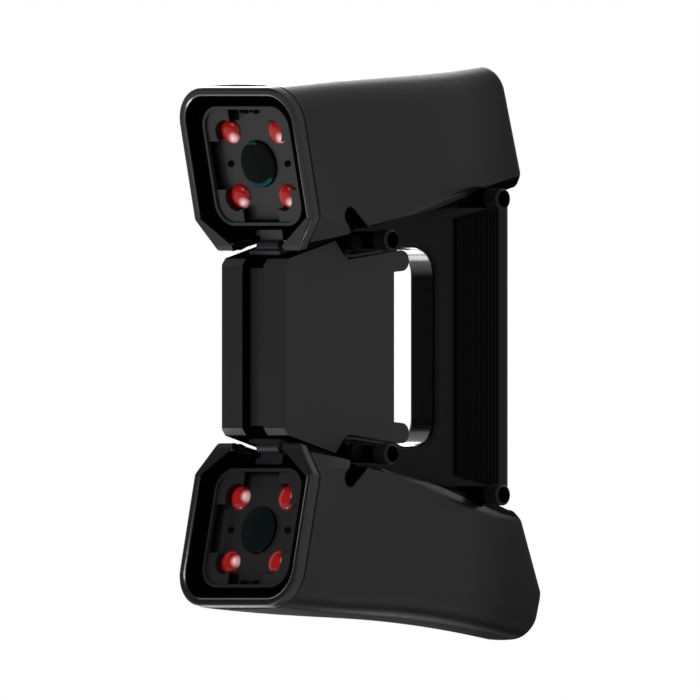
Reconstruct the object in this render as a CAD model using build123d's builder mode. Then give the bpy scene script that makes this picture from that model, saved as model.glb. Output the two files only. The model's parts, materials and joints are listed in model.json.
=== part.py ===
from build123d import *
import os
from math import cos, radians, sin, tan

os.makedirs("parts", exist_ok=True)

# Hand-held stereo scanner. The origin is the middle of the hand grip, the heads face -Y and
# +Z is up. A depth is measured back from the front face of the centre block. Each head is
# drawn once, for the top, and mirrored for the bottom.

# General
grip_reach = 147.0  # front of the centre block to the middle of the grip
clearance = 0.3  # gap round a piece that passes through another
overcut = 1.0  # how far a cut runs past the face it opens
board_thickness = 1.6

# Head outline, seen along the lens axis
head_tilt = 12.5  # lean of each lens axis towards the middle
head_height = 89.4  # lens axis above the middle, at the bezel's front
head_lead = 5.4  # lens axis ahead of the block, at the bezel's front
head_corner = 19.0
chin_run = 13.0  # slanted corner beside the block, across
chin_rise = 16.0  # slanted corner beside the block, along
chin_radius = 3.0

# Bezel and its recess
bezel_depth = 6.0
bezel_edge = 1.2
rim_width = 4.4
recess_side = 7.0  # recess floor from the lamp cover to the rim, at each side
recess_outer = 6.1  # the same at the outer edge
recess_inner = 7.8  # the same beside the block
recess_depth = 7.0
tray_floor = 2.0
tray_wall = 2.4
tray_gap = 1.5  # tray to the pod's inner wall
chin_gap_half = 18.0  # half of the gap in the rim for the link clip
chin_gap_height = 6.5
chin_gap_depth = 9.0  # how far the gap runs back into the pod

# Lamp cover
cover_size = 61.0
cover_radius = 11.5
cover_rim = 1.5
cover_depth = 4.8  # cover's rim behind the bezel's front
tab_thickness = 1.0
cross_half = 12.4  # half width of the open cross between the tabs

# Lamps, lens and their board
led_board_depth = 10.4
led_board_width = 48.0
led_board_height = 57.4
lamp_spread = 16.6  # lamps from the lens axis, both ways
lamp_radius = 6.45
lamp_base = 0.8
lamp_height = 2.6
lens_radius = 11.8
lens_step = 0.6  # wall of the barrel round the glass
lens_front = 1.2  # barrel ahead of the board
glass_thickness = 3.0
glass_crown = 1.0
barrel_wall = 2.4
barrel_length = 22.0
board_screw_spread = 20.0
board_screw_radius = 1.0
board_screw_length = 9.0
screw_head_radius = 1.65
screw_head_height = 0.9
connector_length = 16.0
connector_depth = 2.6
connector_height = 1.6

# Camera bodies
camera_width = 46.0
camera_height = 50.0
camera_length = 30.0
baffle_lap = 4.0  # flange that shuts the lamp cover's opening from behind
baffle_thickness = 1.5
sensor_board_size = 42.0

# Pods
pod_wall = 2.5
pod_proud = 0.6  # pod stands out past the bezel's edge
pod_crown = 2.4
pod_low_slope = 10.0  # slope of the edge beside the grip
pod_rear_depth = 173.0  # lowest rear corner
pod_rear_low = 80.8
pod_rear_top_depth = 156.3
pod_rear_top = 141.5
pod_rear_half_width = 20.2
pod_rear_radius = 4.0
pod_rear_corner = 13.0
pod_rear_run = 4.0
pod_rear_rise = 5.0
pod_rear_chin = 4.0
pod_shoulder_depth = 36.0
pod_shoulder_half_width = 38.4
pod_waist_depth = 97.0
pod_waist_half_width = 31.0
pod_corner = 16.0
pod_low_run = 3.0
pod_low_rise = 4.0
pod_shoulder_lift = 0.4  # fullness of the upper line behind the head
pod_waist_lift = -0.6
pod_station_lead = 9.0  # upper end of a section ahead of its lower end
base_rear_depth = 169.4  # rear corner of the bottom pod beside the grip
base_heel_depth = 175.8  # lower end of its socket face
base_heel_height = 145.5
socket_face_run = 8.9  # ridge behind the heel
socket_face_rise = 25.0  # heel to the ridge above it

# Centre block
block_flare = 15.0  # slope of its top and bottom
block_half_width = 22.4
block_front_height = 43.6
block_chamfer = 3.0
block_corner = 0.8
block_lip = 3.0  # front cover at its full width
groove_width = 15.2
groove_depth = 5.7  # window's face behind the block's front
window_thickness = 1.5
window_half_height = 39.4
window_margin = 1.6
window_end_margin = 5.4
cover_wall = 2.5
cover_back = 34.0
plate_thickness = 2.0
plate_shoulder_depth = 36.0
plate_notch_depth = 44.0
plate_notch_height = 43.5
plate_arm_depth = 88.0
plate_arm_top = 48.9
plate_arm_low = 38.4
plate_rear_depth = 77.5
plate_rear_height = 37.5
plate_round = 5.0

# Link clips
leaf_half_width = 10.8
leaf_thickness = 2.8
leaf_depth = 10.8  # leaf's face behind the bezel's front
leaf_top = 8.7  # leaf above the edge of the chin
leaf_height = 3.0
leaf_gap = 1.0  # round the leaf, in the tray
waist_half_width = 7.9
knuckle_radius = 3.0
knuckle_half_width = 7.6
knuckle_depth = 13.0
low_leaf_length = 9.0
low_leaf_thickness = 2.0

# Projector
projector_half_width = 14.0
projector_half_height = 33.0
laser_radius = 5.8
laser_spacing = 22.0
laser_length = 26.0
laser_nose = 2.0

# Grip frame
frame_half = 9.5
frame_front_depth = 45.0
frame_rear_depth = 173.6
frame_rear_height = 76.0
frame_rear_round = 5.0
frame_tongue_height = 84.0
window_front_depth = 86.3
window_rear_depth = 119.8
finger_half_height = 49.6
finger_corner = 14.2
finger_round = 2.5
horn_half = 10.0
horn_depth = 20.0
boss_depth = 48.0
boss_height = 52.5
boss_radius = 4.0
boss_reach = 26.0
spacer_depth = 63.0
spacer_height = 30.0
spacer_radius = 4.0

# Grip pads
pad_front_depth = 135.0
pad_rear_depth = 167.0
pad_front_height = 65.0
pad_rear_height = 71.0
pad_base = 1.0
pad_rib_width = 1.2
pad_rib_height = 1.0
pad_rib_count = 14

# Side posts
post_reach = 40.0
post_radius = 4.4
post_head_radius = 5.25
post_head_length = 9.0
post_hole_radius = 3.0
post_hole_depth = 9.0
post_chamfer = 1.0
post_relief = 0.8
front_post_depth = 59.0
front_post_height = 53.5
rear_post_depth = 137.6
rear_post_height = 74.0
scoop_length = 28.0  # scoop in the pod's edge, ahead of the front post
scoop_rise = 14.2
scoop_edge_rise = 4.8
scoop_tail = 3.0
scoop_slant = 2.5
scoop_round = 1.5

# Main board
main_board_gap = 3.0
main_board_front = 46.5
main_board_length = 28.0
main_board_half_height = 24.0
standoff_radius = 2.5
standoff_inset = 4.0
standoff_pitch = 9.0
chip_size = 10.0
chip_height = 1.4

# Keypad
mode_key_height = 17.0
mode_key_radius = 3.2
plus_key_height = 7.4
plus_key_radius = 4.0
scan_key_height = -5.0
scan_key_radius = 6.0
minus_key_height = -17.4
minus_key_radius = 4.0
keypad_width = 20.0
keypad_height = 43.0
keypad_radius = 4.0
keypad_proud = 0.5
keypad_flange = 1.5
key_gap = 0.35
key_flange_lap = 1.0
key_flange = 1.0
key_proud = 2.0
key_travel = 1.2
switch_radius = 1.6
switch_height = 1.5
keypad_post_radius = 1.4

# Cable socket
socket_radius = 6.0
socket_wall = 1.8
socket_flange = 1.7
socket_flange_thickness = 2.0
socket_length = 18.0
socket_clear_depth = 10.0
socket_step = 1.0  # ledge in the bore that the insert sits behind
socket_fit = 0.1
contact_radius = 0.7
contact_circle = 2.9
contact_count = 6
nut_radius = 9.8
nut_thickness = 3.0
interface_width = 22.0
interface_height = 18.0

# Worked out from the sizes above
lean = radians(head_tilt)
head_half_width = cover_size / 2 + recess_side + rim_width
head_rise = cover_size / 2 + recess_outer + rim_width  # lens axis to the outer edge
head_drop = cover_size / 2 + recess_inner + rim_width  # lens axis to the edge beside the block
base_ridge_depth = base_heel_depth + socket_face_run
base_ridge_height = base_heel_height - socket_face_rise
tray_inset = pod_wall - pod_proud + tray_gap
camera_front = led_board_depth + board_thickness
sensor_depth = camera_front + camera_length
horn_plane_depth = sensor_depth + board_thickness
window_floor = groove_depth + window_thickness
projector_front = window_floor + cover_wall
cover_half_width = block_half_width - plate_thickness
block_lean = radians(block_flare)


def y_at(depth):
    """Y of a place that lies this far behind the front of the centre block."""
    return depth - grip_reach


head_plane = Plane(
    origin=(0, y_at(-head_lead), head_height),
    x_dir=(1, 0, 0),
    z_dir=(0, -cos(lean), -sin(lean)),
)


def behind(depth):
    """Plane across the lens axis, this far behind the bezel's front."""
    return head_plane.offset(-depth)


def head_point(up, depth):
    """Depth and height of a point above the lens axis and behind the bezel's front."""
    along = -head_lead + depth * cos(lean) - up * sin(lean)
    return (along, head_height + depth * sin(lean) + up * cos(lean))


def block_top(depth):
    """Height of the centre block's sloping top."""
    return block_front_height + tan(block_lean) * depth


def finish(piece, name):
    """Name a piece and write it."""
    piece.part.label = name
    export_step(piece.part, f"parts/{name}.step")


def finish_twins(piece, names, about):
    """Write a piece and its mirror image."""
    finish(piece, names[0])
    with BuildPart() as twin:
        mirror(piece.part, about=about)
    finish(twin, names[1])


def finish_heads(piece, name):
    """Write a piece of the top head and its twin in the bottom head."""
    finish_twins(piece, [f"top_{name}", f"bottom_{name}"], Plane.XY)


def finish_sides(piece, name):
    """Write a piece of the right side and its twin on the left."""
    finish_twins(piece, [f"right_{name}", f"left_{name}"], Plane.YZ)


# Bezel: a deep rim, a tray behind it and a square opening for the lamp cover
def head_outline(plane, inset):
    """Outline of the head, drawn in from its edge by the inset."""
    low = -head_drop
    with BuildSketch(plane) as outline:
        with BuildLine():
            Polyline(
                (-head_half_width, head_rise),
                (head_half_width, head_rise),
                (head_half_width, low + chin_rise),
                (head_half_width - chin_run, low),
                (chin_run - head_half_width, low),
                (-head_half_width, low + chin_rise),
                close=True,
            )
        make_face()
        chin = outline.vertices().group_by(Axis.Y)
        fillet(chin[0] + chin[1], chin_radius)
        fillet(outline.vertices().group_by(Axis.Y)[-1], head_corner)
        if inset > 0:
            offset(amount=-inset)
    return outline.sketch


def square(plane, size, radius):
    """Rounded square on the lens axis."""
    with BuildSketch(plane) as outline:
        RectangleRounded(size, size, radius)
    return outline.sketch


def chin_box(plane, half, top, depth):
    """Block that clears the middle of the chin, from below the head up to a given height."""
    low = -head_drop - head_corner
    with BuildSketch(plane) as outline:
        with Locations((0, (low + top) / 2)):
            Rectangle(2 * half, top - low)
    with BuildPart() as gap:
        extrude(outline.sketch, amount=-depth)
    return gap.part


cover_opening = cover_size - 2 * cover_rim
tray_depth = recess_depth + tray_floor
rim_shape = head_outline(head_plane, 0)
rim_hole = head_outline(head_plane, rim_width)
tray_shape = head_outline(behind(bezel_depth), tray_inset)
tray_hole = head_outline(behind(bezel_depth), tray_inset + tray_wall)
opening_shape = square(behind(recess_depth), cover_opening, cover_radius - cover_rim)
chin_gap = chin_box(
    head_plane.offset(overcut), chin_gap_half, chin_gap_height - head_drop, recess_depth + overcut
)
leaf_window = chin_box(
    behind(recess_depth - overcut),
    leaf_half_width + leaf_gap,
    leaf_top + leaf_gap - head_drop,
    tray_floor + 2 * overcut,
)

with BuildPart() as bezel:
    extrude(rim_shape, amount=-bezel_depth)
    fillet(bezel.faces().sort_by(Axis.Y)[0].edges(), bezel_edge)
    extrude(tray_shape, amount=bezel_depth - tray_depth)
    extrude(rim_hole, amount=-bezel_depth, mode=Mode.SUBTRACT)
    extrude(tray_hole, amount=bezel_depth - recess_depth, mode=Mode.SUBTRACT)
    extrude(opening_shape, amount=-tray_floor, mode=Mode.SUBTRACT)
    add(chin_gap, mode=Mode.SUBTRACT)
    add(leaf_window, mode=Mode.SUBTRACT)
finish_heads(bezel, "bezel")

# Lamp cover: a thin rounded frame with a tab in each corner, cut round the lamps
frame_shape = square(behind(cover_depth), cover_size, cover_radius)
frame_hole = square(behind(cover_depth), cover_opening, cover_radius - cover_rim)
with BuildSketch(behind(recess_depth - tab_thickness)) as tab_shape:
    RectangleRounded(cover_opening, cover_opening, cover_radius - cover_rim)
    Rectangle(2 * cross_half, cover_opening, mode=Mode.SUBTRACT)
    Rectangle(cover_opening, 2 * cross_half, mode=Mode.SUBTRACT)
    with GridLocations(2 * lamp_spread, 2 * lamp_spread, 2, 2):
        Circle(lamp_radius + clearance, mode=Mode.SUBTRACT)

with BuildPart() as lamp_cover:
    extrude(frame_shape, amount=cover_depth - recess_depth)
    extrude(frame_hole, amount=cover_depth - recess_depth, mode=Mode.SUBTRACT)
    extrude(tab_shape.sketch, amount=-tab_thickness)
finish_heads(lamp_cover, "lamp_cover")

# Lamp board: flat plate with a hole for the lens and two screw holes
with BuildSketch(behind(led_board_depth)) as led_board_shape:
    RectangleRounded(led_board_width, led_board_height, chin_radius)
    Circle(lens_radius + clearance, mode=Mode.SUBTRACT)
    with GridLocations(2 * board_screw_spread, 0, 2, 1):
        Circle(board_screw_radius + clearance, mode=Mode.SUBTRACT)

with BuildPart() as led_board:
    extrude(led_board_shape.sketch, amount=-board_thickness)
finish_heads(led_board, "led_board")

# Lamps: shallow round domes that stand on the board
with BuildPart() as led_lamps:
    with BuildSketch(Plane.XZ) as lamp_profile:
        with BuildLine():
            Polyline((0, lamp_height), (0, 0), (lamp_radius, 0), (lamp_radius, lamp_base))
            TangentArc((0, lamp_height), (lamp_radius, lamp_base), tangent=(1, 0))
        make_face()
    lamp = revolve(lamp_profile.sketch, axis=Axis.Z, mode=Mode.PRIVATE)
    with Locations(behind(led_board_depth)):
        with GridLocations(2 * lamp_spread, 2 * lamp_spread, 2, 2):
            add(lamp)
finish_heads(led_lamps, "led_lamps")

# Row of small parts on the outer edge of the lamp board
with BuildPart() as board_connector:
    with Locations(behind(led_board_depth)):
        with Locations((0, led_board_height / 2 - connector_depth, connector_height / 2)):
            Box(connector_length, connector_depth, connector_height)
finish_heads(board_connector, "board_connector")

# Lens barrel: a tube that stands in the camera body and holds the glass at its front
barrel_front = led_board_depth - lens_front
glass_radius = lens_radius - lens_step
with BuildPart() as lens_barrel:
    with BuildSketch(behind(barrel_front)) as barrel_shape:
        Circle(lens_radius)
    extrude(barrel_shape.sketch, amount=-barrel_length)
    with BuildSketch(behind(barrel_front)) as glass_seat:
        Circle(glass_radius)
    extrude(glass_seat.sketch, amount=-glass_thickness, mode=Mode.SUBTRACT)
    with BuildSketch(behind(barrel_front)) as barrel_bore:
        Circle(lens_radius - barrel_wall)
    extrude(barrel_bore.sketch, amount=-barrel_length, mode=Mode.SUBTRACT)
finish_heads(lens_barrel, "lens_barrel")

# Lens glass: a disc with a crowned front, seated on the step in the barrel
with BuildPart() as lens_glass:
    with BuildSketch(Plane.XZ) as glass_profile:
        edge_height = glass_thickness - glass_crown
        with BuildLine():
            Polyline(
                (0, glass_thickness),
                (0, 0),
                (glass_radius - clearance, 0),
                (glass_radius - clearance, edge_height),
            )
            TangentArc((0, glass_thickness), (glass_radius - clearance, edge_height), tangent=(1, 0))
        make_face()
    glass = revolve(glass_profile.sketch, axis=Axis.Z, mode=Mode.PRIVATE)
    with Locations(behind(barrel_front + glass_thickness)):
        add(glass)
finish_heads(lens_glass, "lens_glass")

# Camera body: a block with a flange, a blind bore for the barrel and two screw holes
baffle_size = cover_opening + 2 * baffle_lap
barrel_seat = barrel_front + barrel_length
with BuildPart() as camera_body:
    with BuildSketch(behind(camera_front)) as camera_shape:
        RectangleRounded(camera_width, camera_height, chin_radius)
    extrude(camera_shape.sketch, amount=-camera_length)
    with BuildSketch(behind(camera_front)) as baffle_shape:
        RectangleRounded(baffle_size, baffle_size, cover_radius)
    extrude(baffle_shape.sketch, amount=-baffle_thickness)
    with BuildSketch(behind(camera_front)) as camera_bore:
        Circle(lens_radius + clearance)
    extrude(camera_bore.sketch, amount=camera_front - barrel_seat, mode=Mode.SUBTRACT)
    with BuildSketch(behind(camera_front)) as camera_screws:
        with GridLocations(2 * board_screw_spread, 0, 2, 1):
            Circle(board_screw_radius + clearance)
    extrude(camera_screws.sketch, amount=-board_screw_length, mode=Mode.SUBTRACT)
finish_heads(camera_body, "camera_body")

# Screws that hold the lamp board to the camera body
with BuildPart() as board_screws:
    with BuildSketch(behind(led_board_depth - screw_head_height)) as screw_heads:
        with GridLocations(2 * board_screw_spread, 0, 2, 1):
            Circle(screw_head_radius)
    extrude(screw_heads.sketch, amount=-screw_head_height)
    with BuildSketch(behind(led_board_depth)) as screw_shanks:
        with GridLocations(2 * board_screw_spread, 0, 2, 1):
            Circle(board_screw_radius)
    extrude(screw_shanks.sketch, amount=-board_screw_length)
    with BuildSketch(behind(led_board_depth - screw_head_height)) as screw_sockets:
        with GridLocations(2 * board_screw_spread, 0, 2, 1):
            RegularPolygon(board_screw_radius, 6)
    extrude(screw_sockets.sketch, amount=-screw_head_height / 2, mode=Mode.SUBTRACT)
finish_heads(board_screws, "board_screws")

# Sensor board on the back of the camera body
with BuildPart() as sensor_board:
    with BuildSketch(behind(sensor_depth)) as sensor_shape:
        RectangleRounded(sensor_board_size, sensor_board_size, chin_radius)
    extrude(sensor_shape.sketch, amount=-board_thickness)
finish_heads(sensor_board, "sensor_board")


# Pods: lofted shells, one section behind the other from the bezel to the rear
def pod_plane(top, low):
    """Plane of a section between its upper and lower points, and half its height."""
    rise = Vector(0, top[0] - low[0], top[1] - low[1])
    middle = (0, y_at((top[0] + low[0]) / 2), (top[1] + low[1]) / 2)
    return Plane(middle, x_dir=(1, 0, 0), z_dir=(0, -rise.Z, rise.Y)), rise.length / 2


def pod_section(plane, half_width, half_height, corner, run, rise, chin):
    """One section of a pod: crowned top, upright sides and slanted lower corners."""
    shoulder = half_height - pod_crown
    with BuildSketch(plane) as section:
        with BuildLine():
            ThreePointArc((-half_width, shoulder), (0, half_height), (half_width, shoulder))
            Polyline(
                (half_width, shoulder),
                (half_width, rise - half_height),
                (half_width - run, -half_height),
                (run - half_width, -half_height),
                (-half_width, rise - half_height),
                (-half_width, shoulder),
            )
        make_face()
        low = section.vertices().group_by(Axis.Y)
        fillet(low[0] + low[1], chin)
        fillet(section.vertices().group_by(Axis.Y)[-1], corner)
    return section.sketch


pod_front_top = head_point(head_rise + pod_proud, bezel_depth)
pod_front_low = head_point(-head_drop - pod_proud, bezel_depth)
rear_top_line = (pod_rear_top - pod_front_top[1]) / (pod_rear_top_depth - pod_front_top[0])


def pod_low_point(depth):
    """Point on the pod's lower edge."""
    return (depth, pod_rear_low - tan(radians(pod_low_slope)) * (pod_rear_depth - depth))


def pod_top_point(depth, lift):
    """Point on the pod's upper line, ahead of the section's lower point."""
    ahead = depth - pod_station_lead
    return (ahead, pod_front_top[1] + rear_top_line * (ahead - pod_front_top[0]) + lift)


def rear_section(plane, half_height, setback, inset, corner):
    """Section of a pod's rear, ahead of its rear face and drawn in from its edge."""
    return pod_section(
        plane.offset(setback),
        pod_rear_half_width - inset,
        half_height - inset,
        corner,
        pod_rear_run,
        pod_rear_rise,
        pod_rear_chin,
    )


def pod_form(rear_ends, inset, front_reach, rear_setback, rear_inset):
    """Solid form of a pod, drawn in by the insets, that ends ahead of the rear face."""
    plane, half_height = pod_plane(pod_front_top, pod_front_low)
    sections = [
        pod_section(
            plane.offset(front_reach),
            head_half_width + pod_proud - inset,
            half_height - inset,
            head_corner - inset,
            chin_run,
            chin_rise,
            chin_radius,
        )
    ]
    middle_rows = (
        (pod_shoulder_depth, pod_shoulder_half_width, pod_shoulder_lift),
        (pod_waist_depth, pod_waist_half_width, pod_waist_lift),
    )
    for depth, half_width, lift in middle_rows:
        plane, half_height = pod_plane(pod_top_point(depth, lift), pod_low_point(depth))
        sections.append(
            pod_section(
                plane,
                half_width - inset,
                half_height - inset,
                pod_corner - inset,
                pod_low_run,
                pod_low_rise,
                chin_radius,
            )
        )
    plane, half_height = pod_plane(*rear_ends)
    sections.append(
        rear_section(plane, half_height, rear_setback, rear_inset, pod_rear_corner - inset)
    )
    with BuildPart() as form:
        loft(sections)
    return form.part


def pod_cap(rear_ends):
    """Rounded end of a pod, from its rear section to its rear face."""
    plane, half_height = pod_plane(*rear_ends)
    sections = []
    for turn in (0, 45, 90):
        setback = pod_rear_radius * (1 - sin(radians(turn)))
        inset = pod_rear_radius * (1 - cos(radians(turn)))
        corner = pod_rear_corner - inset
        sections.append(rear_section(plane, half_height, setback, inset, corner))
    with BuildPart() as cap:
        loft(sections)
    return cap.part


def frame_outline(grow):
    """Side view of the grip frame, from the hub to the rear edge, with a horn to each camera."""
    horn_low = head_point(-camera_height / 2, horn_plane_depth)
    horn_top = head_point(horn_half, horn_plane_depth)
    with BuildSketch(Plane.YZ) as outline:
        with BuildLine():
            Polyline(
                (y_at(frame_front_depth), 0),
                (y_at(frame_front_depth), boss_height + boss_radius),
                (y_at(horn_low[0]), horn_low[1]),
                (y_at(horn_top[0]), horn_top[1]),
                (y_at(horn_top[0] + horn_depth), horn_top[1]),
                (y_at(horn_low[0] + horn_depth), frame_tongue_height),
                (y_at(rear_post_depth), frame_tongue_height),
                (y_at(frame_rear_depth), frame_rear_height),
                (y_at(frame_rear_depth), 0),
                close=True,
            )
        make_face()
        mirror(about=Plane.XZ)
        if grow > 0:
            offset(amount=grow, kind=Kind.INTERSECTION)
    return outline.sketch


post_places = (
    (y_at(front_post_depth), front_post_height),
    (y_at(rear_post_depth), rear_post_height),
)
with BuildSketch(Plane.YZ) as relief_shape:
    with Locations(*post_places):
        Circle(post_head_radius + post_relief)
with BuildPart() as post_reliefs:
    extrude(relief_shape.sketch, amount=post_reach, both=True)

scoop_tip = (y_at(front_post_depth - scoop_length), front_post_height + scoop_rise)
scoop_end = (y_at(front_post_depth - scoop_tail), front_post_height + scoop_edge_rise)
with BuildSketch(Plane.YZ) as scoop_shape:
    with BuildLine():
        Polyline(
            scoop_tip,
            (scoop_tip[0] + scoop_slant, front_post_height),
            (scoop_end[0], front_post_height),
            scoop_end,
        )
        TangentArc(scoop_end, scoop_tip, tangent=(-1, 0))
    make_face()
    fillet(scoop_shape.vertices().group_by(Axis.Y)[-1], scoop_round)
with BuildPart() as scoops:
    extrude(scoop_shape.sketch, amount=head_half_width, both=True)
    extrude(scoop_shape.sketch, amount=boss_reach + overcut, both=True, mode=Mode.SUBTRACT)

with BuildPart() as frame_slot:
    extrude(frame_outline(clearance), amount=frame_half + clearance, both=True)

pod_chin_gap = chin_box(
    behind(bezel_depth - overcut),
    chin_gap_half,
    pod_wall + overcut - head_drop,
    chin_gap_depth + overcut,
)


def cut_pod(outer, inner):
    """Hollow a pod and clear it round the frame, the posts and the link clip."""
    with BuildPart() as pod:
        add(outer)
        add(inner, mode=Mode.SUBTRACT)
        add(frame_slot.part, mode=Mode.SUBTRACT)
        add(post_reliefs.part, mode=Mode.SUBTRACT)
        add(scoops.part, mode=Mode.SUBTRACT)
        add(pod_chin_gap, mode=Mode.SUBTRACT)
    return pod.part


rear_inset = pod_wall + pod_rear_radius / 2

# Top pod: its rear face takes the keypad
top_ends = ((pod_rear_top_depth, pod_rear_top), (pod_rear_depth, pod_rear_low))
with BuildPart() as top_outer:
    add(pod_form(top_ends, 0, 0, pod_rear_radius, 0))
    add(pod_cap(top_ends))
top_inner = pod_form(top_ends, pod_wall, overcut, pod_wall, rear_inset)
rear_plane = pod_plane(*top_ends)[0]
keypad_plane = Plane(rear_plane.origin, x_dir=(-1, 0, 0), z_dir=-rear_plane.z_dir)
with BuildSketch(keypad_plane) as keypad_hole:
    RectangleRounded(
        keypad_width + 2 * clearance, keypad_height + 2 * clearance, keypad_radius + clearance
    )

with BuildPart() as top_pod:
    add(cut_pod(top_outer.part, top_inner))
    extrude(keypad_hole.sketch, amount=-2 * pod_wall, mode=Mode.SUBTRACT)
finish(top_pod, "top_pod")

# Bottom pod: its rear runs out to a ridge, and the face below the ridge takes the socket
base_low = pod_low_point(base_rear_depth)
base_top_height = base_heel_height + pod_crown
ridge_slope = (base_ridge_depth - base_low[0]) / (base_ridge_height - base_low[1])
base_top_depth = base_low[0] + ridge_slope * (base_top_height - base_low[1])
base_ends = ((base_top_depth, base_top_height), base_low)
socket_plane = Plane(
    (0, y_at(base_ridge_depth - socket_face_run / 2), base_ridge_height + socket_face_rise / 2),
    x_dir=(1, 0, 0),
    z_dir=(0, socket_face_rise, socket_face_run),
)

with BuildPart() as base_outer:
    add(pod_form(base_ends, 0, 0, pod_rear_radius, 0))
    add(pod_cap(base_ends))
    split(bisect_by=socket_plane, keep=Keep.BOTTOM)
with BuildPart() as base_inner:
    add(pod_form(base_ends, pod_wall, overcut, pod_wall, rear_inset))
    split(bisect_by=socket_plane.offset(-pod_wall), keep=Keep.BOTTOM)

socket_body_radius = socket_radius + socket_wall
socket_back = socket_length - socket_flange_thickness
with BuildSketch(socket_plane) as socket_hole:
    Circle(socket_body_radius + clearance)
with BuildSketch(socket_plane.offset(-pod_wall)) as nut_room:
    Circle(nut_radius + clearance)
with BuildSketch(socket_plane.offset(-socket_back)) as board_room:
    Rectangle(interface_width + 2 * clearance, interface_height + 2 * clearance)
with BuildPart() as raised_bottom_pod:
    add(cut_pod(base_outer.part, base_inner.part))
    extrude(socket_hole.sketch, amount=-pod_wall, mode=Mode.SUBTRACT)
    extrude(nut_room.sketch, amount=pod_wall - socket_back, mode=Mode.SUBTRACT)
    extrude(board_room.sketch, amount=-board_thickness - clearance, mode=Mode.SUBTRACT)
with BuildPart() as bottom_pod:
    mirror(raised_bottom_pod.part, about=Plane.XY)
finish(bottom_pod, "bottom_pod")

# Front cover of the centre block: a grooved front, and a top and bottom wall that spread apart
with BuildSketch(Plane.YZ) as block_side:
    with BuildLine():
        Polyline(
            (y_at(0), 0),
            (y_at(0), block_front_height - block_chamfer),
            (y_at(block_chamfer), block_top(block_chamfer)),
            (y_at(cover_back), block_top(cover_back)),
            (y_at(cover_back), 0),
            close=True,
        )
    make_face()
    mirror(about=Plane.XZ)
with BuildSketch(Plane.YZ) as block_hollow:
    with BuildLine():
        Polyline(
            (y_at(projector_front), 0),
            (y_at(projector_front), block_top(projector_front) - cover_wall),
            (y_at(cover_back), block_top(cover_back) - cover_wall),
            (y_at(cover_back), 0),
            close=True,
        )
    make_face()
    mirror(about=Plane.XZ)
strip_width = block_half_width - groove_width / 2
pocket_width = strip_width - plate_thickness - 2 * cover_wall
pocket_depth = projector_front - cover_wall
pocket_height = 2 * (block_front_height - block_chamfer - cover_wall)

with BuildPart() as front_cover:
    extrude(block_side.sketch, amount=block_half_width, both=True)
    upright_edges = front_cover.edges().filter_by(Axis.Z).group_by(Axis.Y)[0]
    fillet(upright_edges, block_corner)
    with Locations((0, y_at((block_lip + cover_back) / 2), 0)):
        with GridLocations(2 * block_half_width, 0, 2, 1):
            Box(
                2 * plate_thickness,
                cover_back - block_lip,
                4 * block_front_height,
                mode=Mode.SUBTRACT,
            )
    extrude(block_hollow.sketch, amount=cover_half_width, both=True, mode=Mode.SUBTRACT)
    with Locations((0, y_at(window_floor / 2), 0)):
        Box(groove_width, window_floor, 4 * block_front_height, mode=Mode.SUBTRACT)
    with Locations((0, y_at(window_floor + cover_wall / 2), 0)):
        Box(
            groove_width - 2 * window_margin,
            cover_wall,
            2 * (window_half_height - window_end_margin),
            mode=Mode.SUBTRACT,
        )
    with Locations((0, y_at(cover_wall + pocket_depth / 2), 0)):
        with GridLocations(groove_width + 2 * cover_wall + pocket_width, 0, 2, 1):
            Box(pocket_width, pocket_depth, pocket_height, mode=Mode.SUBTRACT)
finish(front_cover, "front_cover")

# Dark window on the floor of the groove
with BuildPart() as projector_window:
    with Locations((0, y_at(groove_depth + window_thickness / 2), 0)):
        Box(groove_width - clearance, window_thickness, 2 * window_half_height)
finish(projector_window, "projector_window")

# Side plates, notched for the front posts and ending in two arms
with BuildSketch(Plane.YZ.offset(cover_half_width)) as plate_shape:
    with BuildLine():
        Polyline(
            (y_at(block_lip), 0),
            (y_at(block_lip), block_top(block_lip)),
            (y_at(plate_shoulder_depth), block_top(plate_shoulder_depth)),
            (y_at(plate_notch_depth), plate_notch_height),
            (y_at(plate_arm_depth), plate_arm_top),
            (y_at(plate_arm_depth), plate_arm_low),
            (y_at(plate_rear_depth), plate_rear_height),
            (y_at(plate_rear_depth), 0),
            close=True,
        )
    make_face()
    notch_corner = (y_at(plate_notch_depth), plate_notch_height)
    fillet(plate_shape.vertices().sort_by_distance(notch_corner)[0], plate_round)
    fillet(plate_shape.vertices().group_by(Axis.X)[-1], plate_round)
    mirror(about=Plane.XZ)
with BuildPart() as side_plate:
    extrude(plate_shape.sketch, amount=plate_thickness)
finish_sides(side_plate, "side_plate")

# Projector body behind the window, bored for the laser modules
laser_seat = projector_front + laser_nose + laser_length
with BuildPart() as projector_body:
    with Locations((0, y_at((projector_front + frame_front_depth) / 2), 0)):
        Box(
            2 * projector_half_width,
            frame_front_depth - projector_front,
            2 * projector_half_height,
        )
    with BuildSketch(Plane.XZ.offset(-y_at(laser_seat))) as laser_bores:
        with GridLocations(0, laser_spacing, 1, 3):
            Circle(laser_radius + clearance)
    extrude(laser_bores.sketch, amount=laser_seat - projector_front, mode=Mode.SUBTRACT)
finish(projector_body, "projector_body")

with BuildPart() as laser_modules:
    with BuildSketch(Plane.XZ.offset(-y_at(laser_seat))) as laser_shape:
        with GridLocations(0, laser_spacing, 1, 3):
            Circle(laser_radius)
    extrude(laser_shape.sketch, amount=laser_length)
    with BuildSketch(Plane.XZ.offset(-y_at(laser_seat - laser_length))) as laser_noses:
        with GridLocations(0, laser_spacing, 1, 3):
            Circle(laser_radius / 2)
    extrude(laser_noses.sketch, amount=laser_nose / 2)
finish(laser_modules, "laser_modules")

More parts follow.
